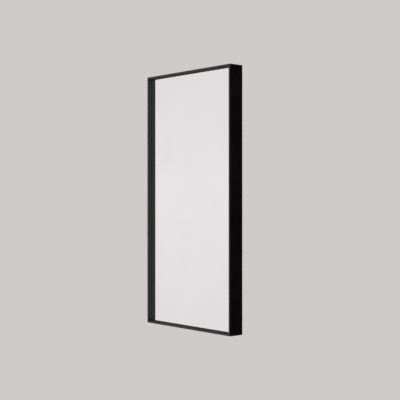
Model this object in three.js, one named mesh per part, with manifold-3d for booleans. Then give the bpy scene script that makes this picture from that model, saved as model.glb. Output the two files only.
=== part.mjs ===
// A tall wall mirror in a deep, thin-edged black box frame, hung on a pair of interlocking 45 degree rails.
// Millimetres. X runs along the wall, +Y goes into the wall and +Z is up.
// The origin is the middle of the wall rail's back face, in the plane of the wall.
import * as THREE from "three";
import { mergeVertices } from "three/addons/utils/BufferGeometryUtils.js";
import Module from "manifold-3d";

const wasm = await Module();
wasm.setup();

// Overall size, seen from the front
const frameWidth = 500;
const frameHeight = 1000;

// Clearances
const fitGap = 0.3;
const mitreGap = 0.2;
const cutOverrun = 1;

// The stack from the wall to the front edge
const bumperThickness = 1;
const railRoom = 31;
const boardThickness = 9;
const tapeThickness = 1;
const glassThickness = 4;
const mirrorRecess = 18;

// Frame profile
const edgeFace = 7.5;
const outerWall = 1.8;
const frontWall = 1.5;
const rebateWall = 1.5;
const ledgeThickness = 1.8;
const lipReach = 9;
const lipThickness = 1.8;
const channelInset = 6.5;
const channelWidth = 13;
const channelDepth = 3.1;
const hookWall = 1.5;
const hookReach = 2;
const edgeRound = 0.7;
const cornerRound = 0.4;

// Glass, tape and board
const glassEdgeRoom = 0.8;
const glassArris = 0.6;
const boardEdgeRoom = 1.2;
const tapeWidth = 20;
const tapeEndInset = 40;
const tapeShares = [-0.36, -0.12, 0.12, 0.36];

// Corner fixings
const keyLeg = 45;
const keyLead = 0.8;
const keyToothPitch = 6;
const keyToothRise = 0.6;
const angleLeg = 60;
const angleRound = 3;
const setScrewRadius = 2;
const setScrewLength = 6;
const setScrewEndInset = 14;
const socketRadius = 1;
const socketDepth = 2.5;
const setScrewChamfer = 0.5;

// Pan-head screws
const shankRadius = 1.75;
const screwHeadRadius = 3.25;
const screwHeadHeight = 2.2;
const screwHeadRim = 0.9;
const crownShare = 0.72;
const screwPoint = 2.2;
const screwBite = 6.2;
const headMargin = 0.75;
const sideScrewShares = [-0.36, 0, 0.36];
const endScrewShares = [0];

// Hanging rails
const wallRailEndInset = 20;
const wallPlate = 2.5;
const wallPlateBelow = 26;
const wallPlateAbove = 5;
const armThickness = 3;
const heelRoom = 5;
const bladeThickness = 3;
const bladeTipRoom = 2.8;
const railRound = 1;
const slotCount = 5;
const slotLength = 14;
const slotWidth = 5.5;
const slotEndInset = 20;
const hangerSideRoom = 21;
const hangerPlate = 2.5;
const hangerLand = 24;
const hangerSkirt = 9;
const hangerScrewShares = [-0.42, -0.14, 0.14, 0.42];
const railTopRoom = 17;

// Bumpers on the back lip
const bumperLength = 30;
const bumperMargin = 1;
const bumperRound = 2;
const bumperEndInset = 60;

// Levels, as distances from the wall
const lipBack = bumperThickness + fitGap;
const boardBack = railRoom;
const boardFront = boardBack + boardThickness;
const tapeBack = boardFront + fitGap;
const glassBack = tapeBack + tapeThickness + fitGap;
const glassFront = glassBack + glassThickness;
const frontEdge = glassFront + mirrorRecess;
const ledgeFront = boardBack - fitGap;
const ledgeBack = ledgeFront - ledgeThickness;
const hookFront = ledgeBack - channelDepth;
const hookBack = hookFront - hookWall;

// Places across the profile, as distances inward from its outer face
const channelEnd = channelInset + channelWidth;
const channelMiddle = channelInset + channelWidth / 2;
const ledgeReach = channelEnd + hookWall + 2 * (screwHeadRadius + headMargin);
const boardScrewInset = ledgeReach - screwHeadRadius - headMargin;
const setScrewAlong = channelInset + fitGap + angleLeg - setScrewEndInset;

// The pane's size, inside the frame
const glassWidth = frameWidth - 2 * (edgeFace + glassEdgeRoom);
const glassHeight = frameHeight - 2 * (edgeFace + glassEdgeRoom);

// Rail places. The blades slope at 45 degrees, so a thickness across them is this much more along either axis
const diagonal = Math.SQRT2;
const bladeSpan = bladeThickness * diagonal;
const slopeGap = fitGap * diagonal;
const hangerFace = boardBack - fitGap - hangerPlate;
const armReach = wallPlate + heelRoom + bladeSpan;
const bladeTipRadius = bladeThickness / 2;
const bladeEnd = hangerFace - bladeTipRoom - bladeTipRadius * (1 + 1 / diagonal);
const bladeRootBelow = hangerFace - armReach + slopeGap;
const bladeRootAbove = bladeRootBelow + bladeSpan;
const hangerTop = bladeRootAbove + hangerLand;
const hangerScrewHeight = bladeRootAbove + hangerLand / 2;
const slotDrop = (armThickness + wallPlateBelow) / 2;
const hangerLength = frameWidth - 2 * (ledgeReach + hangerSideRoom);
const wallRailLength = hangerLength - 2 * wallRailEndInset;
const frameTop = hangerTop + railTopRoom + ledgeReach;
const frameMiddle = frameTop - frameHeight / 2;

// Facets of round shapes
const roundSteps = 4;
const screwSides = 18;

// Finishes
const blackCoat = new THREE.MeshStandardMaterial({ color: 0x1b1a1a, roughness: 0.42, metalness: 0 });
const silvered = new THREE.MeshStandardMaterial({ color: 0xe3dfdf, roughness: 0.03, metalness: 1 });
const blackBoard = new THREE.MeshStandardMaterial({ color: 0x2a2724, roughness: 0.8, metalness: 0 });
const foam = new THREE.MeshStandardMaterial({ color: 0xd8d6d0, roughness: 0.9, metalness: 0 });
const millAluminium = new THREE.MeshStandardMaterial({ color: 0xb9babb, roughness: 0.4, metalness: 1 });
const castZinc = new THREE.MeshStandardMaterial({ color: 0x9c9d9f, roughness: 0.6, metalness: 1 });
const zincPlate = new THREE.MeshStandardMaterial({ color: 0xa9abad, roughness: 0.35, metalness: 1 });
const darkSteel = new THREE.MeshStandardMaterial({ color: 0x3a3b3d, roughness: 0.45, metalness: 1 });
const softRubber = new THREE.MeshStandardMaterial({ color: 0x181818, roughness: 0.85, metalness: 0 });

// A closed outline from points given as [x, y, radius]. A radius is held to half the shorter side beside it.
function outline(points, path = new THREE.Shape()) {
  points.forEach(([x, y, radius], i) => {
    const corner = new THREE.Vector2(x, y);
    const [beforeX, beforeY] = points.at(i - 1);
    const [afterX, afterY] = points[(i + 1) % points.length];
    const toBefore = new THREE.Vector2(beforeX, beforeY).sub(corner);
    const toAfter = new THREE.Vector2(afterX, afterY).sub(corner);
    const trim = Math.min(radius, toBefore.length() / 2, toAfter.length() / 2);
    const enter = corner.clone().addScaledVector(toBefore.normalize(), trim);
    const leave = corner.clone().addScaledVector(toAfter.normalize(), trim);
    if (i === 0) path.moveTo(enter.x, enter.y);
    else path.lineTo(enter.x, enter.y);
    if (trim > 0) path.quadraticCurveTo(x, y, leave.x, leave.y);
  });
  path.closePath();
  return path;
}

// A bar of one section, centred on its length.
function bar(section, length) {
  const geometry = new THREE.ExtrudeGeometry(section, {
    depth: length,
    bevelEnabled: false,
    curveSegments: roundSteps,
  });
  return geometry.translate(0, 0, -length / 2);
}

// A flat plate, drawn as seen from the front, which stands parallel to the wall at a distance from it.
function upright(shape, thickness, distance) {
  return bar(shape, thickness)
    .rotateX(Math.PI / 2)
    .translate(0, -distance - thickness / 2, 0);
}

function solidOf(geometry) {
  const bare = geometry.clone();
  bare.deleteAttribute("normal");
  bare.deleteAttribute("uv");
  const merged = mergeVertices(bare);
  const vertProperties = new Float32Array(merged.attributes.position.array);
  const triVerts = new Uint32Array(merged.index.array);
  return new wasm.Manifold(new wasm.Mesh({ numProp: 3, vertProperties, triVerts }));
}

function cutFrom(geometry, cutters) {
  const cut = cutters.reduce((body, cutter) => body.subtract(solidOf(cutter)), solidOf(geometry));
  const { vertProperties, triVerts } = cut.getMesh();
  const result = new THREE.BufferGeometry();
  result.setAttribute("position", new THREE.BufferAttribute(vertProperties, 3));
  result.setIndex(new THREE.BufferAttribute(triVerts, 1));
  result.computeVertexNormals();
  return result;
}

// A round cutter that stands square to the wall, from one distance from the wall to another.
function drill(radius, x, z, from, to) {
  const cutter = new THREE.CylinderGeometry(radius, radius, to - from, screwSides);
  return cutter.translate(x, -(from + to) / 2, z);
}

function piece(name, geometry, material) {
  const mesh = new THREE.Mesh(geometry, material);
  mesh.name = name;
  return mesh;
}

// The four sides, each as it lies once the bottom side is turned about the Y axis
const sides = [
  { name: "bottom", turn: 0, length: frameWidth, reach: frameHeight / 2, screwShares: endScrewShares },
  { name: "left", turn: Math.PI / 2, length: frameHeight, reach: frameWidth / 2, screwShares: sideScrewShares },
  { name: "top", turn: Math.PI, length: frameWidth, reach: frameHeight / 2, screwShares: endScrewShares },
  { name: "right", turn: -Math.PI / 2, length: frameHeight, reach: frameWidth / 2, screwShares: sideScrewShares },
];

// The four corners, each as it lies once the bottom left corner is turned about the Y axis
const corners = [
  { name: "bottom_left", turn: 0, x: -frameWidth / 2, z: -frameHeight / 2 },
  { name: "top_left", turn: Math.PI / 2, x: -frameWidth / 2, z: frameHeight / 2 },
  { name: "top_right", turn: Math.PI, x: frameWidth / 2, z: frameHeight / 2 },
  { name: "bottom_right", turn: -Math.PI / 2, x: frameWidth / 2, z: -frameHeight / 2 },
];

// Section of the frame profile: x is the distance inward from the outer face, y the distance from the wall. A
// hollow chamber stands behind the front edge, the ledge carries the board, and two hooks form a channel on it.
function profileSection() {
  const section = outline([
    [0, lipBack, cornerRound],
    [lipReach, lipBack, cornerRound],
    [lipReach, lipBack + lipThickness, cornerRound],
    [outerWall, lipBack + lipThickness, cornerRound],
    [outerWall, ledgeBack, cornerRound],
    [channelInset - hookWall, ledgeBack, cornerRound],
    [channelInset - hookWall, hookBack, cornerRound],
    [channelInset + hookReach, hookBack, cornerRound],
    [channelInset + hookReach, hookFront, 0],
    [channelInset, hookFront, 0],
    [channelInset, ledgeBack, 0],
    [channelEnd, ledgeBack, 0],
    [channelEnd, hookFront, 0],
    [channelEnd - hookReach, hookFront, 0],
    [channelEnd - hookReach, hookBack, cornerRound],
    [channelEnd + hookWall, hookBack, cornerRound],
    [channelEnd + hookWall, ledgeBack, cornerRound],
    [ledgeReach, ledgeBack, cornerRound],
    [ledgeReach, ledgeFront, cornerRound],
    [edgeFace, ledgeFront, 0],
    [edgeFace, frontEdge, edgeRound],
    [0, frontEdge, edgeRound],
  ]);
  const chamber = outline(
    [
      [outerWall, ledgeFront, 0],
      [edgeFace - rebateWall, ledgeFront, 0],
      [edgeFace - rebateWall, frontEdge - frontWall, 0],
      [outerWall, frontEdge - frontWall, 0],
    ],
    new THREE.Path(),
  );
  section.holes.push(chamber);
  return section;
}

// One side of the frame. Its ends are cut back as far as each point lies inward, which is the 45 degree mitre.
function frameProfile({ name, turn, length, reach, screwShares }) {
  const geometry = bar(profileSection(), length);
  const { position } = geometry.attributes;
  const setBack = (mitreGap / 2) * diagonal;
  for (let i = 0; i < position.count; i += 1) {
    const end = Math.sign(position.getZ(i));
    position.setZ(i, end * (length / 2 - setBack - position.getX(i)));
  }
  const inward = new THREE.Vector3(0, 0, 1);
  const fromWall = new THREE.Vector3(0, -1, 0);
  const along = new THREE.Vector3(1, 0, 0);
  geometry.applyMatrix4(new THREE.Matrix4().makeBasis(inward, fromWall, along)).translate(0, 0, -reach);
  const holes = screwShares.map((share) =>
    drill(
      shankRadius + fitGap,
      share * length,
      boardScrewInset - reach,
      ledgeBack - cutOverrun,
      ledgeFront + cutOverrun,
    ),
  );
  const mesh = piece(`frame_profile_${name}`, cutFrom(geometry, holes), blackCoat);
  mesh.rotation.y = turn;
  return mesh;
}

// A cast cleat that fills the front chamber on both sides of one mitre, drawn from the frame's outer corner.
// Teeth on the inner side of its legs lean towards the mitre, so a leg goes in more easily than it comes out.
function frontCornerKey() {
  const inset = outerWall + fitGap;
  const crest = edgeFace - rebateWall - fitGap;
  const root = crest - keyToothRise;
  const tip = inset + keyLeg;
  const toothCount = Math.ceil((tip - crest) / keyToothPitch) - 1;
  const toothBacks = Array.from({ length: toothCount }, (_, i) => tip - (i + 1) * keyToothPitch);
  const teeth = toothBacks.flatMap((back) => [
    [back, crest, 0],
    [back, root, 0],
  ]);
  const leg = [[tip, inset, keyLead], [tip, root, keyLead], ...teeth.slice(0, -1)];
  const otherLeg = leg.map(([along, across, round]) => [across, along, round]).reverse();
  const shape = outline([[inset, inset, 0], ...leg, [crest, crest, 0], ...otherLeg]);
  const depth = frontEdge - frontWall - ledgeFront - 2 * fitGap;
  return upright(shape, depth, ledgeFront + fitGap);
}

// A flat steel angle in the channel on the back of the ledge, drawn in the same way. It has a threaded hole near
// the end of each leg.
function rearCornerAngle() {
  const inset = channelInset + fitGap;
  const innerSide = channelEnd - fitGap;
  const tip = inset + angleLeg;
  const shape = outline([
    [inset, inset, 0],
    [tip, inset, angleRound],
    [tip, innerSide, angleRound],
    [innerSide, innerSide, 0],
    [innerSide, tip, angleRound],
    [inset, tip, angleRound],
  ]);
  const plate = upright(shape, channelDepth - 2 * fitGap, hookFront + fitGap);
  const holeRadius = setScrewRadius + fitGap;
  const from = hookFront - cutOverrun;
  const to = ledgeBack + cutOverrun;
  return cutFrom(plate, [
    drill(holeRadius, setScrewAlong, channelMiddle, from, to),
    drill(holeRadius, channelMiddle, setScrewAlong, from, to),
  ]);
}

// A grub screw with its socket towards the wall. Its flat end bears on the back of the ledge.
function setScrew() {
  const rim = setScrewRadius - setScrewChamfer;
  const profile = [
    new THREE.Vector2(0, 0),
    new THREE.Vector2(rim, 0),
    new THREE.Vector2(setScrewRadius, setScrewChamfer),
    new THREE.Vector2(setScrewRadius, setScrewLength - setScrewChamfer),
    new THREE.Vector2(rim, setScrewLength),
    new THREE.Vector2(socketRadius, setScrewLength),
    new THREE.Vector2(socketRadius, setScrewLength - socketDepth),
    new THREE.Vector2(0, setScrewLength - socketDepth),
  ];
  return new THREE.LatheGeometry(profile, screwSides).translate(0, fitGap - ledgeBack, 0);
}

// A pan-head screw that points away from the wall. Its head seats at a distance from the wall.
function panScrew(seat) {
  const tip = -(boardBack - seat) - screwBite;
  const profile = [
    new THREE.Vector2(0, tip),
    new THREE.Vector2(shankRadius, tip + screwPoint),
    new THREE.Vector2(shankRadius, 0),
    new THREE.Vector2(screwHeadRadius, 0),
    new THREE.Vector2(screwHeadRadius, screwHeadRim),
    new THREE.Vector2(screwHeadRadius * crownShare, screwHeadHeight),
    new THREE.Vector2(0, screwHeadHeight),
  ];
  return new THREE.LatheGeometry(profile, screwSides).translate(0, -seat, 0);
}

function rectangle(width, height, round = 0) {
  return outline([
    [-width / 2, -height / 2, round],
    [width / 2, -height / 2, round],
    [width / 2, height / 2, round],
    [-width / 2, height / 2, round],
  ]);
}

// The pane, with a flat arris ground along every edge.
function mirrorGlass() {
  const face = rectangle(glassWidth - 2 * glassArris, glassHeight - 2 * glassArris);
  const core = glassThickness - 2 * glassArris;
  const geometry = new THREE.ExtrudeGeometry(face, {
    depth: core,
    bevelEnabled: true,
    bevelThickness: glassArris,
    bevelSize: glassArris,
    bevelSegments: 1,
  });
  return geometry
    .translate(0, 0, -core / 2)
    .rotateX(Math.PI / 2)
    .translate(0, -(glassBack + glassFront) / 2, 0);
}

function mirrorTape() {
  return upright(rectangle(tapeWidth, glassHeight - 2 * tapeEndInset), tapeThickness, tapeBack);
}

// The board that the glass is taped to. Its back has a pilot hole for each screw.
function carrierBoard() {
  const width = frameWidth - 2 * (edgeFace + boardEdgeRoom);
  const height = frameHeight - 2 * (edgeFace + boardEdgeRoom);
  const pilotEnd = boardBack + screwBite + fitGap;
  const pilot = (x, z) => drill(shankRadius + fitGap, x, z, boardBack - cutOverrun, pilotEnd);
  const alongSides = sides.flatMap(({ turn, length, reach, screwShares }) =>
    screwShares.map((share) => pilot(share * length, boardScrewInset - reach).rotateY(turn)),
  );
  const underHanger = hangerScrewShares.map((share) =>
    pilot(share * hangerLength, hangerScrewHeight - frameMiddle),
  );
  return cutFrom(upright(rectangle(width, height), boardThickness, boardBack), [...alongSides, ...underHanger]);
}

// Turns a rail section, drawn with x away from the wall and y up, to run along the wall.
function rail(section, length) {
  const fromWall = new THREE.Vector3(0, -1, 0);
  const up = new THREE.Vector3(0, 0, 1);
  const along = new THREE.Vector3(-1, 0, 0);
  return bar(section, length).applyMatrix4(new THREE.Matrix4().makeBasis(fromWall, up, along));
}

// The rail on the wall: a slotted back plate, an arm, and a round-tipped blade that rises away from the wall.
function wallRail() {
  const tipX = bladeEnd + bladeTipRadius / diagonal;
  const tipY = bladeEnd - armReach - bladeTipRadius / diagonal;
  const underArm = armReach + bladeSpan - armThickness;
  const section = new THREE.Shape();
  section.moveTo(0, -wallPlateBelow);
  section.lineTo(wallPlate, -wallPlateBelow);
  section.lineTo(wallPlate, -armThickness - railRound);
  section.quadraticCurveTo(wallPlate, -armThickness, wallPlate + railRound, -armThickness);
  section.lineTo(underArm, -armThickness);
  section.absarc(tipX, tipY, bladeTipRadius, -Math.PI / 4, (3 * Math.PI) / 4, false);
  section.lineTo(armReach, 0);
  section.lineTo(wallPlate, 0);
  section.lineTo(wallPlate, wallPlateAbove);
  section.lineTo(0, wallPlateAbove);
  section.closePath();
  const pitch = (wallRailLength - 2 * slotEndInset) / (slotCount - 1);
  const slots = Array.from({ length: slotCount }, (_, i) =>
    upright(
      rectangle(slotLength, slotWidth, slotWidth / 2),
      wallPlate + 2 * cutOverrun,
      -cutOverrun,
    ).translate((i - (slotCount - 1) / 2) * pitch, 0, -slotDrop),
  );
  return cutFrom(rail(section, wallRailLength), slots);
}

// The rail on the board: a screwed plate with a blade that comes down towards the wall and rests on the arm.
function hangerRail() {
  const section = outline([
    [hangerFace, bladeRootBelow - hangerSkirt, cornerRound],
    [hangerFace + hangerPlate, bladeRootBelow - hangerSkirt, cornerRound],
    [hangerFace + hangerPlate, hangerTop, cornerRound],
    [hangerFace, hangerTop, cornerRound],
    [hangerFace, bladeRootAbove, railRound],
    [armReach + fitGap - slopeGap - bladeSpan, fitGap, cornerRound],
    [armReach + fitGap - slopeGap, fitGap, 0],
    [hangerFace, bladeRootBelow, railRound],
  ]);
  const holes = hangerScrewShares.map((share) =>
    drill(
      shankRadius + fitGap,
      share * hangerLength,
      hangerScrewHeight,
      hangerFace - cutOverrun,
      hangerFace + hangerPlate + cutOverrun,
    ),
  );
  return cutFrom(rail(section, hangerLength), holes);
}

function bumper() {
  const shape = rectangle(lipReach - 2 * bumperMargin, bumperLength, bumperRound);
  return upright(shape, bumperThickness, 0);
}

// The frame, with the fixings at each corner
const framed = new THREE.Group();
framed.position.z = frameMiddle;

for (const side of sides) {
  framed.add(frameProfile(side));
  side.screwShares.forEach((share, i) => {
    const holder = new THREE.Group();
    holder.rotation.y = side.turn;
    const screw = piece(`board_screw_${side.name}_${i + 1}`, panScrew(ledgeBack - fitGap), zincPlate);
    screw.position.set(share * side.length, 0, boardScrewInset - side.reach);
    holder.add(screw);
    framed.add(holder);
  });
}

for (const { name, turn, x, z } of corners) {
  const corner = new THREE.Group();
  corner.position.set(x, 0, z);
  corner.rotation.y = turn;
  corner.add(piece(`front_corner_key_${name}`, frontCornerKey(), castZinc));
  corner.add(piece(`rear_corner_angle_${name}`, rearCornerAngle(), zincPlate));
  const screwPlaces = [
    [setScrewAlong, channelMiddle],
    [channelMiddle, setScrewAlong],
  ];
  screwPlaces.forEach(([screwX, screwZ], i) => {
    const screw = piece(`set_screw_${name}_${i + 1}`, setScrew(), darkSteel);
    screw.position.set(screwX, 0, screwZ);
    corner.add(screw);
  });
  framed.add(corner);
}

// The glass on its board
framed.add(piece("mirror_glass", mirrorGlass(), silvered));
tapeShares.forEach((share, i) => {
  const tape = piece(`mirror_tape_${i + 1}`, mirrorTape(), foam);
  tape.position.x = share * glassWidth;
  framed.add(tape);
});
framed.add(piece("carrier_board", carrierBoard(), blackBoard));

// The pads that keep the back lip off the wall
for (const { name, x, z } of corners) {
  const pad = piece(`bumper_${name}`, bumper(), softRubber);
  pad.position.set(x - (Math.sign(x) * lipReach) / 2, 0, z - Math.sign(z) * bumperEndInset);
  framed.add(pad);
}

// The pair of rails
const hungMirror = new THREE.Group();
hungMirror.add(framed);
hungMirror.add(piece("wall_rail", wallRail(), millAluminium));
hungMirror.add(piece("hanger_rail", hangerRail(), millAluminium));
hangerScrewShares.forEach((share, i) => {
  const screw = piece(`hanger_screw_${i + 1}`, panScrew(hangerFace - fitGap), zincPlate);
  screw.position.set(share * hangerLength, 0, hangerScrewHeight);
  hungMirror.add(screw);
});

export default hungMirror;
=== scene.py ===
# A tall wall mirror in a deep, thin-edged black box frame, which hangs on two interlocking 45 degree rails.
# Metres. X runs along the wall, +Y goes into the wall and +Z is up.
import math

import bpy
import numpy as np
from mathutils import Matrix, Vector


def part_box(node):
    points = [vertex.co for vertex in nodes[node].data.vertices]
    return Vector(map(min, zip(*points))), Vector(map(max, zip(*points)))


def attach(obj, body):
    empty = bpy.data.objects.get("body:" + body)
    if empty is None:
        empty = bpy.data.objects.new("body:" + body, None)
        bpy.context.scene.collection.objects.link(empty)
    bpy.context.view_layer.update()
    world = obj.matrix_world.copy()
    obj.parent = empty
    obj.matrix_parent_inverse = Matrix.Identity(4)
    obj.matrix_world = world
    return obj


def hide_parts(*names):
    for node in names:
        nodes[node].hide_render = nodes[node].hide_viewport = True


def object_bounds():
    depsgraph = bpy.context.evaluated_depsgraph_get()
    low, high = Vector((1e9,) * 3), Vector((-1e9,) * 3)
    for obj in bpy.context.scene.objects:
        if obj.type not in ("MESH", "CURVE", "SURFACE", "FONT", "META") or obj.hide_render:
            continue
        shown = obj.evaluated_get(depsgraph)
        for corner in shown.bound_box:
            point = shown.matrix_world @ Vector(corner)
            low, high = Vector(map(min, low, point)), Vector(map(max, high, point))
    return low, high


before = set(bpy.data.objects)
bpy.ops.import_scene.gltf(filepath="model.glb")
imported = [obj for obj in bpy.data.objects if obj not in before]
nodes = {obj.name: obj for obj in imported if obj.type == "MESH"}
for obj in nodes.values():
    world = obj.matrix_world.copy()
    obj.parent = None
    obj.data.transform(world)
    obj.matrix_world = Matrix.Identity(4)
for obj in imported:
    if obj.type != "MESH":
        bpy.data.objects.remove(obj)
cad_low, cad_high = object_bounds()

# The camera stands level with the middle of the mirror and to its right, where the photograph was taken.
# Lines along the wall meet on the left, which gives the turn. The nearest upright edge gives the distance
# by its height in pixels and the step to the side by its column. The sensor is measured in millimetres.
picture_side = 400
focal_pixels = 900.8
vanishing_pixels_left = 769.6
near_edge_column = 229.95
near_edge_pixels = 273.0
sensor_width = 36

turn = math.atan2(focal_pixels, vanishing_pixels_left)
ahead = Vector((-math.sin(turn), math.cos(turn), 0))
rightward = Vector((math.cos(turn), math.sin(turn), 0))
near_edge = Vector((cad_high.x, cad_low.y, (cad_low.z + cad_high.z) / 2))
distance = focal_pixels * (cad_high.z - cad_low.z) / near_edge_pixels
side_step = distance * (near_edge_column - picture_side / 2) / focal_pixels

lens = bpy.data.cameras.new("camera")
lens.sensor_width = sensor_width
lens.lens = sensor_width * focal_pixels / picture_side
camera = bpy.data.objects.new("camera", lens)
camera.location = near_edge - distance * ahead - side_step * rightward
camera.rotation_euler = ahead.to_track_quat("-Z", "Y").to_euler()
bpy.context.scene.collection.objects.link(camera)
bpy.context.scene.camera = camera
bpy.context.scene.view_settings.view_transform = "Standard"

# The backdrop is plain and pale all round. It is lightest in front of the mirror, because the silvered
# glass shows only that side, and a dark flag at the rear right keeps the outer side of the frame black.
# Matt surfaces get a soft light from it that comes mostly from the left.
backdrop_colour = (0.815, 0.779, 0.781, 1)
rear_span = (-0.35, 0.25)
rear_share = 0.76
glow_height = 0.15
glow_share = 1.055
flag_direction = (0.757, 0.653, 0)
flag_span = (0.45, 0.8)
flag_share = 0.015
fill_colour = (1.0, 0.98, 0.98, 1)
fill_span = (-0.6, 0.35)
fill_levels = (0.95, 0.4)


def add_node(tree, kind, inputs=None, **settings):
    """Adds a shader node. Sockets given as inputs are linked, and values go on the node's own sockets."""
    node = tree.nodes.new(kind)
    for setting, value in settings.items():
        setattr(node, setting, value)
    for socket, value in (inputs or {}).items():
        if isinstance(value, bpy.types.NodeSocket):
            tree.links.new(value, node.inputs[socket])
        else:
            node.inputs[socket].default_value = value
    return node


def math_of(tree, operation, *values):
    """One step of arithmetic on sockets and numbers."""
    return add_node(tree, "ShaderNodeMath", dict(enumerate(values)), operation=operation).outputs["Value"]


def eased(tree, value, span, levels):
    """Goes from one level to the other while the value crosses the span, with an easy start and stop."""
    start, end = span
    first, last = levels
    inputs = {"Value": value, "From Min": start, "From Max": end, "To Min": first, "To Max": last}
    return add_node(tree, "ShaderNodeMapRange", inputs, interpolation_type="SMOOTHSTEP").outputs["Result"]


def glowing(tree, colour, strength):
    """Plain light of one colour."""
    return add_node(tree, "ShaderNodeBackground", {"Color": colour, "Strength": strength}).outputs[0]


def either(tree, choice, first, second):
    """The first shader where the choice is 0, and the second where it is 1."""
    return add_node(tree, "ShaderNodeMixShader", {0: choice, 1: first, 2: second}).outputs[0]


def light_studio():
    """The camera sees the backdrop, gloss and glass see it with its glow and its flag, and matt surfaces
    get the fill in its place."""
    world = bpy.data.worlds.new("pale backdrop")
    world.use_nodes = True
    tree = world.node_tree
    tree.nodes.clear()
    direction = add_node(tree, "ShaderNodeTexCoord").outputs["Generated"]
    along = add_node(tree, "ShaderNodeSeparateXYZ", {"Vector": direction}).outputs
    height = math_of(tree, "ABSOLUTE", along["Z"])
    facing = add_node(
        tree, "ShaderNodeVectorMath", {0: direction, 1: flag_direction}, operation="DOT_PRODUCT"
    ).outputs["Value"]
    seen = eased(tree, along["Y"], rear_span, (1, rear_share))
    glow = eased(tree, height, (0, glow_height), (glow_share, 1))
    flag = eased(tree, facing, flag_span, (1, flag_share))
    fill = eased(tree, along["X"], fill_span, fill_levels)
    mirrored = math_of(tree, "MULTIPLY", math_of(tree, "MULTIPLY", seen, glow), flag)
    ray = add_node(tree, "ShaderNodeLightPath").outputs
    sharp = math_of(tree, "MAXIMUM", ray["Is Glossy Ray"], ray["Is Transmission Ray"])
    shown = glowing(tree, backdrop_colour, mirrored)
    lighting = either(tree, sharp, glowing(tree, fill_colour, fill), shown)
    whole = either(tree, ray["Is Camera Ray"], lighting, glowing(tree, backdrop_colour, seen))
    add_node(tree, "ShaderNodeOutputWorld", {"Surface": whole})
    bpy.context.scene.world = world


light_studio()

# The key lamp is high in front on the left, and a weaker one is high behind for the rails. The key lamp is
# kept out of glass and gloss, so only the rear one shows in the sheen of metal and paint.
middle = (cad_low + cad_high) / 2
lamps = {
    "key lamp": {"place": (-1.9, -2.7, 2.1), "side": 1.4, "power": 70, "in_sheen": False},
    "rear lamp": {"place": (-1.4, 2.4, 1.9), "side": 2.0, "power": 36, "in_sheen": True},
}

for name, lamp in lamps.items():
    panel = bpy.data.lights.new(name, "AREA")
    panel.size = lamp["side"]
    panel.energy = lamp["power"]
    holder = bpy.data.objects.new(name, panel)
    holder.location = lamp["place"]
    holder.rotation_euler = (middle - holder.location).to_track_quat("-Z", "Y").to_euler()
    bpy.context.scene.collection.objects.link(holder)
    holder.visible_glossy = lamp["in_sheen"]

# The floor is a plain pale sheet well below the hanging frame, and it keeps the object's shadow. It fades
# out towards its edges, doesn't show in the glass, and throws no light back on the object.
floor_drop = 0.7
floor_middle = (1.5, 0.2)
floor_reach = 3
floor_fade_share = 0.5
floor_colour = (0.72, 0.70, 0.70, 1)
floor_roughness = 0.9
floor_sheen = 0.1
floor_own_share = 0.25


def paint_floor():
    """Matt paint that takes the shadow of the object. A share of the backdrop's colour is added to what the
    camera sees of it, so that the floor looks pale without more light on the object."""
    paint = bpy.data.materials.new("pale floor")
    paint.use_nodes = True
    tree = paint.node_tree
    matt = tree.nodes["Principled BSDF"]
    matt.inputs["Base Color"].default_value = floor_colour
    matt.inputs["Roughness"].default_value = floor_roughness
    matt.inputs["Specular IOR Level"].default_value = floor_sheen
    place = add_node(tree, "ShaderNodeTexCoord").outputs["Object"]
    centre = (*floor_middle, cad_low.z - floor_drop)
    away = add_node(
        tree, "ShaderNodeVectorMath", {0: place, 1: centre}, operation="DISTANCE"
    ).outputs["Value"]
    fade = eased(tree, away, (floor_fade_share * floor_reach, floor_reach), (0, 1))
    clear = add_node(tree, "ShaderNodeBsdfTransparent").outputs[0]
    seen = add_node(tree, "ShaderNodeLightPath").outputs["Is Camera Ray"]
    own_light = math_of(tree, "MULTIPLY", seen, floor_own_share)
    own = add_node(tree, "ShaderNodeEmission", {"Color": backdrop_colour, "Strength": own_light}).outputs[0]
    pale = add_node(tree, "ShaderNodeAddShader", {0: matt.outputs[0], 1: own}).outputs[0]
    faded = either(tree, fade, pale, clear)
    tree.links.new(faded, tree.nodes["Material Output"].inputs["Surface"])
    return paint


sheet_middle = np.array([*floor_middle, cad_low.z - floor_drop])
sheet_corners = sheet_middle + floor_reach * np.array([[-1, -1, 0], [1, -1, 0], [1, 1, 0], [-1, 1, 0]])
floor_mesh = bpy.data.meshes.new("floor")
floor_mesh.from_pydata(sheet_corners.tolist(), [], [[0, 1, 2, 3]])
floor_mesh.materials.append(paint_floor())
floor = bpy.data.objects.new("floor", floor_mesh)
bpy.context.scene.collection.objects.link(floor)
floor.visible_diffuse = False
floor.visible_glossy = False

# The frame is four lengths of one extruded aluminium section, mitred and powder coated in a fine matt
# black. The cured powder has a faint orange peel and a finer grain, and the coat softens the cut edges.
coat_dark = (0.0014, 0.0014, 0.0014, 1)
coat_light = (0.0027, 0.0026, 0.0026, 1)
coat_sheen = 0.55
coat_roughness = (0.40, 0.50)
grazing_span = (0.4, 0.9)
grazing_roughness = 0.45
coat_cloud_pitch = 0.09
peel_pitch = 0.0022
peel_depth = 0.000012
grain_pitch = 0.00045
grain_depth = 0.000006
coat_edge = 0.0001
mottle_span = (0.3, 0.7)
pair_span = (0.7, 1.3)
weld_share = 0.01
edge_steps = 2
edge_angle = 40


def new_finish(name, fixed):
    """A material with the fixed values on its shader's own sockets. Gives the material, its tree, its
    shader and the place on the piece."""
    finish = bpy.data.materials.new(name)
    finish.use_nodes = True
    tree = finish.node_tree
    shader = tree.nodes["Principled BSDF"]
    for socket, value in fixed.items():
        shader.inputs[socket].default_value = value
    place = add_node(tree, "ShaderNodeTexCoord").outputs["Object"]
    return finish, tree, shader, place


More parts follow.
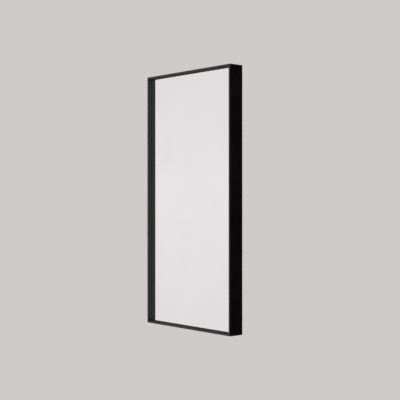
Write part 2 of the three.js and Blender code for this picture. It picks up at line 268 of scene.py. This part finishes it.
def mottle(tree, place, pitch, detail=2, distortion=0):
    """Soft clouds about one pitch across. Most of one lies within mottle_span, and of the sum of two within
    pair_span."""
    inputs = {"Vector": place, "Scale": 1 / pitch, "Detail": detail, "Distortion": distortion}
    return add_node(tree, "ShaderNodeTexNoise", inputs).outputs["Fac"]


def tint(tree, amount, dark, light, span=mottle_span):
    """A colour from dark to light while the amount crosses the span."""
    ramp = add_node(tree, "ShaderNodeValToRGB", {"Fac": amount})
    first, last = ramp.color_ramp.elements
    first.position, last.position = span
    first.color, last.color = dark, light
    return ramp.outputs["Color"]


def relief(tree, height, depth, below=None):
    """Bumps of the given depth, laid over the relief below."""
    inputs = {"Height": height, "Distance": depth}
    if below is not None:
        inputs["Normal"] = below
    return add_node(tree, "ShaderNodeBump", inputs).outputs["Normal"]


def feed(tree, shader, sources):
    """Links each source to the shader's socket of that name."""
    for socket, source in sources.items():
        tree.links.new(source, shader.inputs[socket])


def powder_coat():
    """The grain keeps the coat from glaring, so it is rougher where it is seen at a grazing angle."""
    finish, tree, shader, place = new_finish("matt black powder coat", {"Specular IOR Level": coat_sheen})
    peel = mottle(tree, place, peel_pitch)
    grain = mottle(tree, place, grain_pitch, detail=4)
    cloud = mottle(tree, place, coat_cloud_pitch, detail=3)
    satin = eased(tree, math_of(tree, "ADD", cloud, grain), pair_span, coat_roughness)
    facing = add_node(tree, "ShaderNodeLayerWeight").outputs["Facing"]
    grazing = eased(tree, facing, grazing_span, (0, grazing_roughness))
    feed(tree, shader, {
        "Base Color": tint(tree, grain, coat_dark, coat_light),
        "Roughness": math_of(tree, "ADD", satin, grazing),
        "Normal": relief(tree, grain, grain_depth, relief(tree, peel, peel_depth)),
    })
    return finish


def dress(names, finish, edge):
    """Gives CAD nodes a finish, and rounds their sharp edges by the given width."""
    for name in names:
        part = nodes[name]
        part.data.materials.clear()
        part.data.materials.append(finish)
        part.modifiers.new("joined", "WELD").merge_threshold = weld_share * edge
        rounding = part.modifiers.new("rounding", "BEVEL")
        rounding.width = edge
        rounding.segments = edge_steps
        rounding.limit_method = "ANGLE"
        rounding.angle_limit = math.radians(edge_angle)


sides = ("bottom", "left", "top", "right")
dress([f"frame_profile_{side}" for side in sides], powder_coat(), coat_edge)

# A toothed cleat of cast zinc is pressed into the hollow front chamber on both sides of each mitre. Its
# skin is dull and slightly pitted, as it comes out of the die.
cast_dark = (0.30, 0.30, 0.31, 1)
cast_light = (0.44, 0.44, 0.45, 1)
cast_roughness = (0.48, 0.68)
cast_skin_pitch = 0.003
cast_skin_depth = 0.00005
pit_pitch = 0.0012
pit_depth = 0.00002
key_edge = 0.0002


def dimples(tree, place, pitch):
    """The distance from the nearest of many scattered points, about one pitch apart."""
    return add_node(tree, "ShaderNodeTexVoronoi", {"Vector": place, "Scale": 1 / pitch}).outputs["Distance"]


def cast_zinc():
    """Fine pits over a slightly uneven skin."""
    finish, tree, shader, place = new_finish("die cast zinc", {"Metallic": 1})
    skin = mottle(tree, place, cast_skin_pitch, detail=6)
    pits = dimples(tree, place, pit_pitch)
    feed(tree, shader, {
        "Base Color": tint(tree, skin, cast_dark, cast_light),
        "Roughness": eased(tree, skin, mottle_span, cast_roughness),
        "Normal": relief(tree, pits, pit_depth, relief(tree, skin, cast_skin_depth)),
    })
    return finish


corners = ("bottom_left", "top_left", "top_right", "bottom_right")
dress([f"front_corner_key_{corner}" for corner in corners], cast_zinc(), key_edge)

# Behind, a punched steel angle sits in the undercut channel of both profiles. It is zinc plated and
# passivated, which leaves faint bluish and straw-coloured clouds on a fine crystalline skin.
plate_blue = (0.52, 0.55, 0.60, 1)
plate_straw = (0.63, 0.61, 0.56, 1)
plate_roughness = (0.25, 0.40)
passivated_pitch = 0.012
crystal_pitch = 0.0008
crystal_depth = 0.000005
handled_pitch = 0.005
handled_depth = 0.000006
angle_edge = 0.0003


def zinc_plate():
    """Fine crystals over the marks of handling."""
    finish, tree, shader, place = new_finish("zinc plate", {"Metallic": 1})
    cloud = mottle(tree, place, passivated_pitch, detail=4, distortion=0.6)
    crystal = mottle(tree, place, crystal_pitch, detail=4)
    handled = mottle(tree, place, handled_pitch, detail=6, distortion=1.2)
    feed(tree, shader, {
        "Base Color": tint(tree, cloud, plate_blue, plate_straw),
        "Roughness": eased(tree, math_of(tree, "ADD", crystal, handled), pair_span, plate_roughness),
        "Normal": relief(tree, crystal, crystal_depth, relief(tree, handled, handled_depth)),
    })
    return finish


plated = zinc_plate()
dress([f"rear_corner_angle_{corner}" for corner in corners], plated, angle_edge)

# Two grub screws jam each angle in its channel. They are blackened steel, with a thread over their whole
# length and a hexagon socket that faces the wall.
oxide_colours = ((0.020, 0.020, 0.022, 1), (0.055, 0.055, 0.060, 1))
oxide_roughness = (0.34, 0.52)
oxide_metal = 0.9
oxide_pitch = 0.0012
oxide_depth = 0.000006
grub_pitch = 0.0007
grub_thread_depth = 0.00038
grub_chamfer = 0.0005
socket_across = 0.002
socket_depth = 0.0025
socket_lead = 0.00025
columns_per_flat = 8
rows_per_turn = 12
thread_power = 1.4
thread_crease = 35


def closed_skin(name, rings, first_pole, last_pole, finish):
    """A closed skin through rings of points, counted as ring, place round the ring and coordinate.
    Four-sided faces join each ring to the next, and a fan of triangles closes each end on its pole."""
    count, around, _ = rings.shape
    points = np.concatenate([rings.reshape(-1, 3), [first_pole, last_pole]])
    here = np.arange(around)
    beside = (here + 1) % around
    start = around * np.arange(count - 1)[:, None]
    walls = np.stack([start + here, start + beside, start + around + beside, start + around + here], axis=-1)
    last = around * (count - 1)
    near = np.full(around, len(points) - 2)
    far = np.full(around, len(points) - 1)
    fans = [np.stack([near, beside, here], axis=-1), np.stack([far, last + here, last + beside], axis=-1)]
    mesh = bpy.data.meshes.new(name)
    mesh.from_pydata(points.tolist(), [], walls.reshape(-1, 4).tolist() + np.concatenate(fans).tolist())
    mesh.materials.append(finish)
    piece = bpy.data.objects.new(name, mesh)
    bpy.context.scene.collection.objects.link(piece)
    return piece


def turned_skin(name, x, z, angles, radii, levels, finish):
    """A closed skin round an axis along Y. Each row has a radius and a level along Y for every angle: a
    point is off the axis by the radius times the sine of its angle in X and the cosine in Z. The first and
    last rows are single points on the axis."""
    rings = np.stack([x + radii * np.sin(angles), levels + 0 * radii, z + radii * np.cos(angles)], axis=-1)
    return closed_skin(name, rings[1:-1], (x, levels[0, 0], z), (x, levels[-1, 0], z), finish)


def smooth_below(piece, degrees):
    """Shades the piece smoothly, apart from edges where it bends by more than the angle."""
    piece.data.shade_smooth()
    piece.data.set_sharp_from_angle(angle=math.radians(degrees))


def helix(angles, levels, pitch):
    """The height of a rounded thread, from 0 at its root to 1 at its crest: a raised cosine to a power,
    which climbs by one pitch in one turn."""
    phase = levels / pitch - angles / (2 * math.pi)
    return (0.5 + 0.5 * np.cos(2 * math.pi * phase)) ** thread_power


def rows(values, columns):
    """Each value as a row of its own, repeated in every column."""
    return np.repeat(np.asarray(values, float)[:, None], columns, axis=1)


def screw_box(name):
    """The x and z of a screw's axis, its largest radius, and the levels of its two ends along Y."""
    low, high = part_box(name)
    radius = max(high.x - low.x, high.z - low.z) / 2
    return (low.x + high.x) / 2, (low.z + high.z) / 2, radius, low.y, high.y


def black_oxide():
    """An even black under a faint bloom."""
    finish, tree, shader, place = new_finish("black oxide", {"Metallic": oxide_metal})
    bloom = mottle(tree, place, oxide_pitch, detail=4)
    feed(tree, shader, {
        "Base Color": tint(tree, bloom, *oxide_colours),
        "Roughness": eased(tree, bloom, mottle_span, oxide_roughness),
        "Normal": relief(tree, bloom, oxide_depth),
    })
    return finish


def grub_screw(name, finish):
    """From the front to the wall: the radius of the body is the lesser of a chamfered cylinder's and the
    thread's, and the radius of the socket is half its width over the cosine of the angle from the middle of
    a flat."""
    x, z, radius, front, back = screw_box(name)
    angles = np.arange(6 * columns_per_flat) * math.pi / (3 * columns_per_flat)
    turns = (back - front) / grub_pitch
    body = rows(np.linspace(front, back, round(turns * rows_per_turn)), len(angles))
    end = np.minimum(body - front, back - body)
    trimmed = radius - grub_chamfer + np.minimum(end, grub_chamfer)
    root = radius - grub_thread_depth
    threaded = np.minimum(trimmed, root + grub_thread_depth * helix(angles, body, grub_pitch))

    half_flat = math.pi / 6
    hexagon = socket_across / 2 / np.cos((angles + half_flat) % (2 * half_flat) - half_flat)
    floor_level = back - socket_depth
    socket_rows = [(socket_lead, back), (0, back - socket_lead), (0, floor_level)]
    socket = np.stack([hexagon + lead for lead, _ in socket_rows])

    levels = rows([front, *body[:, 0], *(level for _, level in socket_rows), floor_level], len(angles))
    radii = np.concatenate([rows([0], len(angles)), threaded, socket, rows([0], len(angles))])
    screw = turned_skin(f"{name}_threaded", x, z, angles, radii, levels, finish)
    smooth_below(screw, thread_crease)
    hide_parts(name)
    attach(screw, "mirror")


blackened = black_oxide()
for corner in corners:
    for number in (1, 2):
        grub_screw(f"set_screw_{corner}_{number}", blackened)

# The carrier board closes the back of the frame. It is a 9 mm medium density fibreboard, dyed black through
# and sanded, so its face is a dense felt of short fibres with a few pale ones among them.
board_dark = (0.014, 0.013, 0.012, 1)
board_light = (0.030, 0.027, 0.025, 1)
board_sheen = 0.25
board_roughness = (0.62, 0.82)
board_roughness_span = (0.35, 0.65)
board_cloud_pitch = 0.09
felt_pitch = 0.0009
felt_depth = 0.00003
felt_share = 0.85
felt_span = (0.38, 0.62)
fibre_colour = (0.080, 0.068, 0.055, 1)
fibre_strength = 0.7
fibre_span = (0.70, 0.80)
fibre_width = 0.0005
fibre_depth = 0.00002
fibre_slenderness = 7
fibre_turns = np.radians([0, 37, 71, 108, 145])
board_edge = 0.0003


def fibres(tree, place, turn):
    """Short fibres in the plane of the board, which lie at the given turn."""
    inputs = {"Vector": place, "Rotation": (0, turn, 0), "Scale": (1, 1, fibre_slenderness)}
    laid = add_node(tree, "ShaderNodeMapping", inputs, vector_type="TEXTURE").outputs["Vector"]
    return mottle(tree, laid, fibre_width, detail=1, distortion=0.4)


def blended(tree, first, share, second):
    """The given share of the first pattern plus the rest of the second."""
    return math_of(tree, "MULTIPLY_ADD", first, share, math_of(tree, "MULTIPLY", second, 1 - share))


def dyed_board():
    """A felt ground, with the strongest of five lays of fibres drawn pale on it."""
    finish, tree, shader, place = new_finish("dyed fibreboard", {"Specular IOR Level": board_sheen})
    cloud = mottle(tree, place, board_cloud_pitch, detail=3)
    felt = mottle(tree, place, felt_pitch, detail=6, distortion=0.7)
    ground = tint(tree, blended(tree, felt, felt_share, cloud), board_dark, board_light, felt_span)
    strands = fibres(tree, place, fibre_turns[0])
    for turn in fibre_turns[1:]:
        strands = math_of(tree, "MAXIMUM", strands, fibres(tree, place, turn))
    pale = eased(tree, strands, fibre_span, (0, fibre_strength))
    colour = add_node(
        tree, "ShaderNodeMixRGB", {"Fac": pale, "Color1": ground, "Color2": fibre_colour}
    ).outputs["Color"]
    feed(tree, shader, {
        "Base Color": colour,
        "Roughness": eased(tree, felt, board_roughness_span, board_roughness),
        "Normal": relief(tree, strands, fibre_depth, relief(tree, felt, felt_depth)),
    })
    return finish


dress(["carrier_board"], dyed_board(), board_edge)

# Four upright strips of white foam tape hold the pane on the board. The foam has fine closed cells, and its
# cut sides bulge a little under the weight of the glass.
tape_colours = ((0.62, 0.61, 0.58, 1), (0.76, 0.75, 0.72, 1))
tape_sheen = 0.2
tape_roughness = (0.95, 0.78)
tape_cloud_pitch = 0.02
cell_pitch = 0.0004
cell_depth = 0.00006
cell_span = (0, 0.6)
tape_bulge = 0.0002
bulge_steps = 7
tape_corner = 0.001
tape_corner_steps = 4
soft_crease = 50


def all_round(quarter):
    """The angles of the first quarter turn, repeated in all four."""
    return (quarter + np.arange(4)[:, None] * math.pi / 2).ravel()


def slab_skin(name, low, high, corner_radius, corner_steps, layers, finish):
    """A closed slab that lies along the wall. Its outline is a rectangle with four quarter circles for
    corners. Each layer is an inset from that outline and a level along Y, from the front to the back, and
    both ends close on the middle."""
    centre = (low + high) / 2
    half = np.array([high.x - low.x, high.z - low.z]) / 2
    angles = all_round(np.linspace(0, math.pi / 2, corner_steps))
    outward = np.stack([np.sin(angles), np.cos(angles)], axis=-1)
    quadrants = np.repeat([[1, 1], [1, -1], [-1, -1], [-1, 1]], corner_steps, axis=0)
    outline = quadrants * (half - corner_radius) + corner_radius * outward
    insets, levels = (rows(values, len(angles)) for values in zip(*layers))
    across = outline - insets[..., None] * outward
    rings = np.stack([centre.x + across[..., 0], levels, centre.z + across[..., 1]], axis=-1)
    poles = [(centre.x, level, centre.z) for level in (levels[0, 0], levels[-1, 0])]
    return closed_skin(name, rings, *poles, finish)


def foam_tape():
    """Closed cells, which are a little less dull at their rims."""
    finish, tree, shader, place = new_finish("white foam", {"Specular IOR Level": tape_sheen})
    cells = dimples(tree, place, cell_pitch)
    cloud = mottle(tree, place, tape_cloud_pitch, detail=3)
    feed(tree, shader, {
        "Base Color": tint(tree, cloud, *tape_colours),
        "Roughness": eased(tree, cells, cell_span, tape_roughness),
        "Normal": relief(tree, cells, cell_depth),
    })
    return finish


def tape_strip(name, finish):
    """The sides are half an ellipse from the front to the back, which touches the outline halfway."""
    low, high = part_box(name)
    layers = [
        (tape_bulge * (1 - math.sin(angle)), low.y + (high.y - low.y) * (1 - math.cos(angle)) / 2)
        for angle in np.linspace(0, math.pi, bulge_steps)
    ]
    strip = slab_skin(f"{name}_foam", low, high, tape_corner, tape_corner_steps, layers, finish)
    smooth_below(strip, soft_crease)
    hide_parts(name)
    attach(strip, "mirror")


def all_named(start):
    """The names of the CAD nodes that begin so, in order."""
    return [name for name in sorted(nodes) if name.startswith(start)]


white_foam = foam_tape()
for name in all_named("mirror_tape"):
    tape_strip(name, white_foam)

# The pane is 4 mm float glass, silvered and painted on its back. Its edges are ground to a flat arris and
# show the green of the glass, and its corners are nipped round.
silver_dark = (0.920, 0.925, 0.931, 1)
silver_light = (0.940, 0.943, 0.949, 1)
silver_roughness = (0.008, 0.02)
haze_pitch = 0.11
wipe_pitch = 0.03
wipe_stretch = (1, 1, 0.25)
wipe_span = (0.35, 0.7)
glass_ior = 1.52
ground_colours = ((0.16, 0.30, 0.25, 1), (0.34, 0.50, 0.44, 1))
ground_roughness = (0.30, 0.50)
grind_pitch = 0.0009
grind_stretch = (1, 8, 1)
grind_depth = 0.00001
paint_colours = ((0.095, 0.115, 0.110, 1), (0.120, 0.140, 0.132, 1))
paint_sheen = 0.4
paint_roughness = (0.38, 0.50)
curtain_pitch = 0.004
curtain_stretch = (1, 1, 0.05)
curtain_depth = 0.000012
arris = 0.0006
nip_radius = 0.0015
nip_steps = 5


def stretched(tree, place, stretch):
    """The place with each axis multiplied by its share of the stretch."""
    return add_node(tree, "ShaderNodeMapping", {"Vector": place, "Scale": stretch}).outputs["Vector"]


def silvered():
    """Silver under a faint haze, wiped in upright strokes."""
    finish, tree, shader, place = new_finish("silvered glass", {"Metallic": 1})
    haze = mottle(tree, place, haze_pitch, detail=4)
    wiped = mottle(tree, stretched(tree, place, wipe_stretch), wipe_pitch, detail=5, distortion=0.8)
    feed(tree, shader, {
        "Base Color": tint(tree, haze, silver_dark, silver_light),
        "Roughness": eased(tree, wiped, wipe_span, silver_roughness),
    })
    return finish


def ground_edge():
    """Grinding lines that run along the edge."""
    finish, tree, shader, place = new_finish("ground glass edge", {"IOR": glass_ior})
    grind = mottle(tree, stretched(tree, place, grind_stretch), grind_pitch, detail=5)
    feed(tree, shader, {
        "Base Color": tint(tree, grind, *ground_colours),
        "Roughness": eased(tree, grind, mottle_span, ground_roughness),
        "Normal": relief(tree, grind, grind_depth),
    })
    return finish


def backing_paint():
    """Poured paint with faint upright streaks."""
    finish, tree, shader, place = new_finish("mirror backing paint", {"Specular IOR Level": paint_sheen})
    curtain = mottle(tree, stretched(tree, place, curtain_stretch), curtain_pitch, detail=4)
    feed(tree, shader, {
        "Base Color": tint(tree, curtain, *paint_colours),
        "Roughness": eased(tree, curtain, mottle_span, paint_roughness),
        "Normal": relief(tree, curtain, curtain_depth),
    })
    return finish


def mirror_pane():
    """Four outlines, of which the first and last are drawn in by the arris. The faces between them are the
    ground edge, the first fan is the front, where the silver shows, and the second is the painted back."""
    low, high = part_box("mirror_glass")
    front, back = low.y, high.y
    layers = [(arris, front), (0, front + arris), (0, back - arris), (arris, back)]
    pane = slab_skin("mirror_pane", low, high, nip_radius, nip_steps, layers, silvered())
    pane.data.materials.append(ground_edge())
    pane.data.materials.append(backing_paint())
    silver, ground, painted = range(3)
    around = len(pane.data.vertices) // len(layers)
    faces = [np.full((len(layers) - 1) * around, ground), np.full(around, silver), np.full(around, painted)]
    pane.data.polygons.foreach_set("material_index", np.concatenate(faces).astype(np.int32))
    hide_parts("mirror_glass")
    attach(pane, "mirror")


mirror_pane()

# Pan-head screws go through the ledge of the frame into the board. They are zinc plated, with a cross
# recess in a domed head, and a coarse thread that runs out to a point.
arm_half = 0.00042
arm_reach = 0.0017
arm_steps = 3
recess_depth = 0.0014
recess_outline_shares = (0.88, 0.40)
recess_depth_shares = (0.60, 0.86)
head_height = 0.0022
head_rim = 0.0007
crown_power = 2.4
crown_steps = 9
shank_share = 0.54
thread_root_share = 0.40
thread_crest_share = 0.58
wood_pitch = 0.0014
point_length = 0.0026
point_power = 0.8
run_out = 0.0009
near_zero = 1e-9


def crossed_angles(corner):
    """Angles all round, with steps that meet the four arms of a cross where they turn their corners."""
    eighth = np.concatenate([
        np.linspace(0, corner, arm_steps, endpoint=False),
        np.linspace(corner, math.pi / 4, arm_steps, endpoint=False),
    ])
    return all_round(np.concatenate([eighth, [math.pi / 4], math.pi / 2 - eighth[:0:-1]]))


def pan_screw(name, finish):
    """From the point up: a round thread whose root and crest swell from nothing, the flat seat, the rim, a
    superellipse for a crown, and a recess whose outline is the nearer of an arm's end and an arm's side."""
    x, z, head, point, top = screw_box(name)
    seat = top - head_height
    angles = crossed_angles(math.atan2(arm_half, arm_reach))
    wide, narrow = np.sort(np.abs([np.cos(angles), np.sin(angles)]), axis=0)[::-1]
    cross = np.minimum(arm_reach / wide, arm_half / np.maximum(narrow, near_zero))

    turns = (seat - point) / wood_pitch
    shank = rows(np.linspace(point, seat, round(turns * rows_per_turn))[1:], len(angles))
    swell = np.clip((shank - point) / point_length, 0, 1) ** point_power
    fade = np.clip((seat - shank) / run_out - 1, 0, 1)
    root = head * (shank_share + (thread_root_share - shank_share) * fade)
    crest = head * (thread_crest_share - thread_root_share) * fade
    threaded = swell * (root + crest * helix(angles, shank, wood_pitch))

    inward = rows(1 - np.cos(np.linspace(0, math.pi / 2, crown_steps)), len(angles))
    crown = head + (cross - head) * inward
    dome = (1 - np.minimum(crown / head, 1) ** crown_power) ** (1 / crown_power)
    crown_levels = seat + head_rim + (head_height - head_rim) * dome

    recess = np.outer(recess_outline_shares, cross)
    recess_levels = top - recess_depth * np.array([*recess_depth_shares, 1])

    single_rows = rows([0, head, point, seat], len(angles))
    axis_row, head_row, point_row, seat_row = np.split(single_rows, len(single_rows))
    radii = np.concatenate([axis_row, threaded, head_row, crown, recess, axis_row])
    levels = np.concatenate([point_row, shank, seat_row, crown_levels, rows(recess_levels, len(angles))])
    screw = turned_skin(f"{name}_threaded", x, z, angles, radii, levels, finish)
    smooth_below(screw, thread_crease)
    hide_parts(name)
    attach(screw, "mirror")


for name in all_named("board_screw"):
    pan_screw(name, plated)

# The hanging rails are aluminium extrusions in mill finish, with the fine lines that the die leaves along
# them. This one is screwed to the board, and its blade comes down over the blade of the rail on the wall.
mill_dark = (0.74, 0.75, 0.76, 1)
mill_light = (0.86, 0.87, 0.87, 1)
mill_metal = 0.85
mill_roughness = (0.42, 0.58)
mill_cloud_pitch = 0.02
die_lines = (0.002, 1, 1)
die_pitch = 0.0007
saw_lines = (1, 0.05, 1)
saw_pitch = 0.0004
line_depth = 0.000004
line_share = 0.4
cut_span = (0.8, 0.95)
rail_edge = 0.0002


def mill_aluminium():
    """Die lines run along the rail, and finer saw lines run across its two cut ends."""
    finish, tree, shader, place = new_finish("mill aluminium", {"Metallic": mill_metal})
    outward = add_node(tree, "ShaderNodeTexCoord").outputs["Normal"]
    along = add_node(tree, "ShaderNodeSeparateXYZ", {"Vector": outward}).outputs["X"]
    cut = eased(tree, math_of(tree, "ABSOLUTE", along), cut_span, (0, 1))
    drawn = mottle(tree, stretched(tree, place, die_lines), die_pitch, detail=4)
    sawn = mottle(tree, stretched(tree, place, saw_lines), saw_pitch, detail=3)
    lines = add_node(tree, "ShaderNodeMix", {"Factor": cut, "A": drawn, "B": sawn}).outputs["Result"]
    cloud = mottle(tree, place, mill_cloud_pitch, detail=4)
    feed(tree, shader, {
        "Base Color": tint(tree, blended(tree, lines, line_share, cloud), mill_dark, mill_light),
        "Roughness": eased(tree, lines, mottle_span, mill_roughness),
        "Normal": relief(tree, lines, line_depth),
    })
    return finish


mill_finish = mill_aluminium()
dress(["hanger_rail"], mill_finish, rail_edge)

# Four more pan-head screws of the same kind hold the hanger rail on the board. They go through the plate of
# the rail, spread along it, and the whole weight of the mirror hangs on them.
for name in all_named("hanger_screw"):
    pan_screw(name, plated)

# The lower rail stays on the wall. It has a slotted plate for wall screws and a round-tipped blade that
# rises away from the wall, on which the mirror hangs.
dress(["wall_rail"], mill_finish, rail_edge)

# Four thin rubber pads are stuck on the back lip of the frame, one near each corner, and keep it off the
# wall. They are moulded, with round corners and softly rounded edges, and their skin is dull.
pad_colours = ((0.012, 0.012, 0.012, 1), (0.026, 0.025, 0.025, 1))
pad_sheen = 0.35
pad_roughness = (0.66, 0.84)
pad_bloom_pitch = 0.006
spark_pitch = 0.0003
spark_depth = 0.00001
pad_corner = 0.002
pad_corner_steps = 6
pad_edge = 0.00025
pad_edge_steps = 4


def moulded_rubber():
    """Fine bumps from spark erosion of the mould, under a faint bloom."""
    finish, tree, shader, place = new_finish("moulded rubber", {"Specular IOR Level": pad_sheen})
    bloom = mottle(tree, place, pad_bloom_pitch, detail=4)
    spark = mottle(tree, place, spark_pitch, detail=3)
    feed(tree, shader, {
        "Base Color": tint(tree, bloom, *pad_colours),
        "Roughness": eased(tree, bloom, mottle_span, pad_roughness),
        "Normal": relief(tree, spark, spark_depth),
    })
    return finish


def pad(name, finish):
    """Both edges are a quarter circle, whose inset and rise are the edge's radius times one less the sine
    and one less the cosine."""
    low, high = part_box(name)
    rounding = np.linspace(0, math.pi / 2, pad_edge_steps)
    insets = pad_edge * (1 - np.sin(rounding))
    rises = pad_edge * (1 - np.cos(rounding))
    front = [(inset, low.y + rise) for inset, rise in zip(insets, rises)]
    back = [(inset, high.y - rise) for inset, rise in zip(insets, rises)]
    layers = front + back[::-1]
    moulded = slab_skin(f"{name}_moulded", low, high, pad_corner, pad_corner_steps, layers, finish)
    smooth_below(moulded, soft_crease)
    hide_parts(name)
    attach(moulded, "mirror")


rubber = moulded_rubber()
for corner in corners:
    pad(f"bumper_{corner}", rubber)
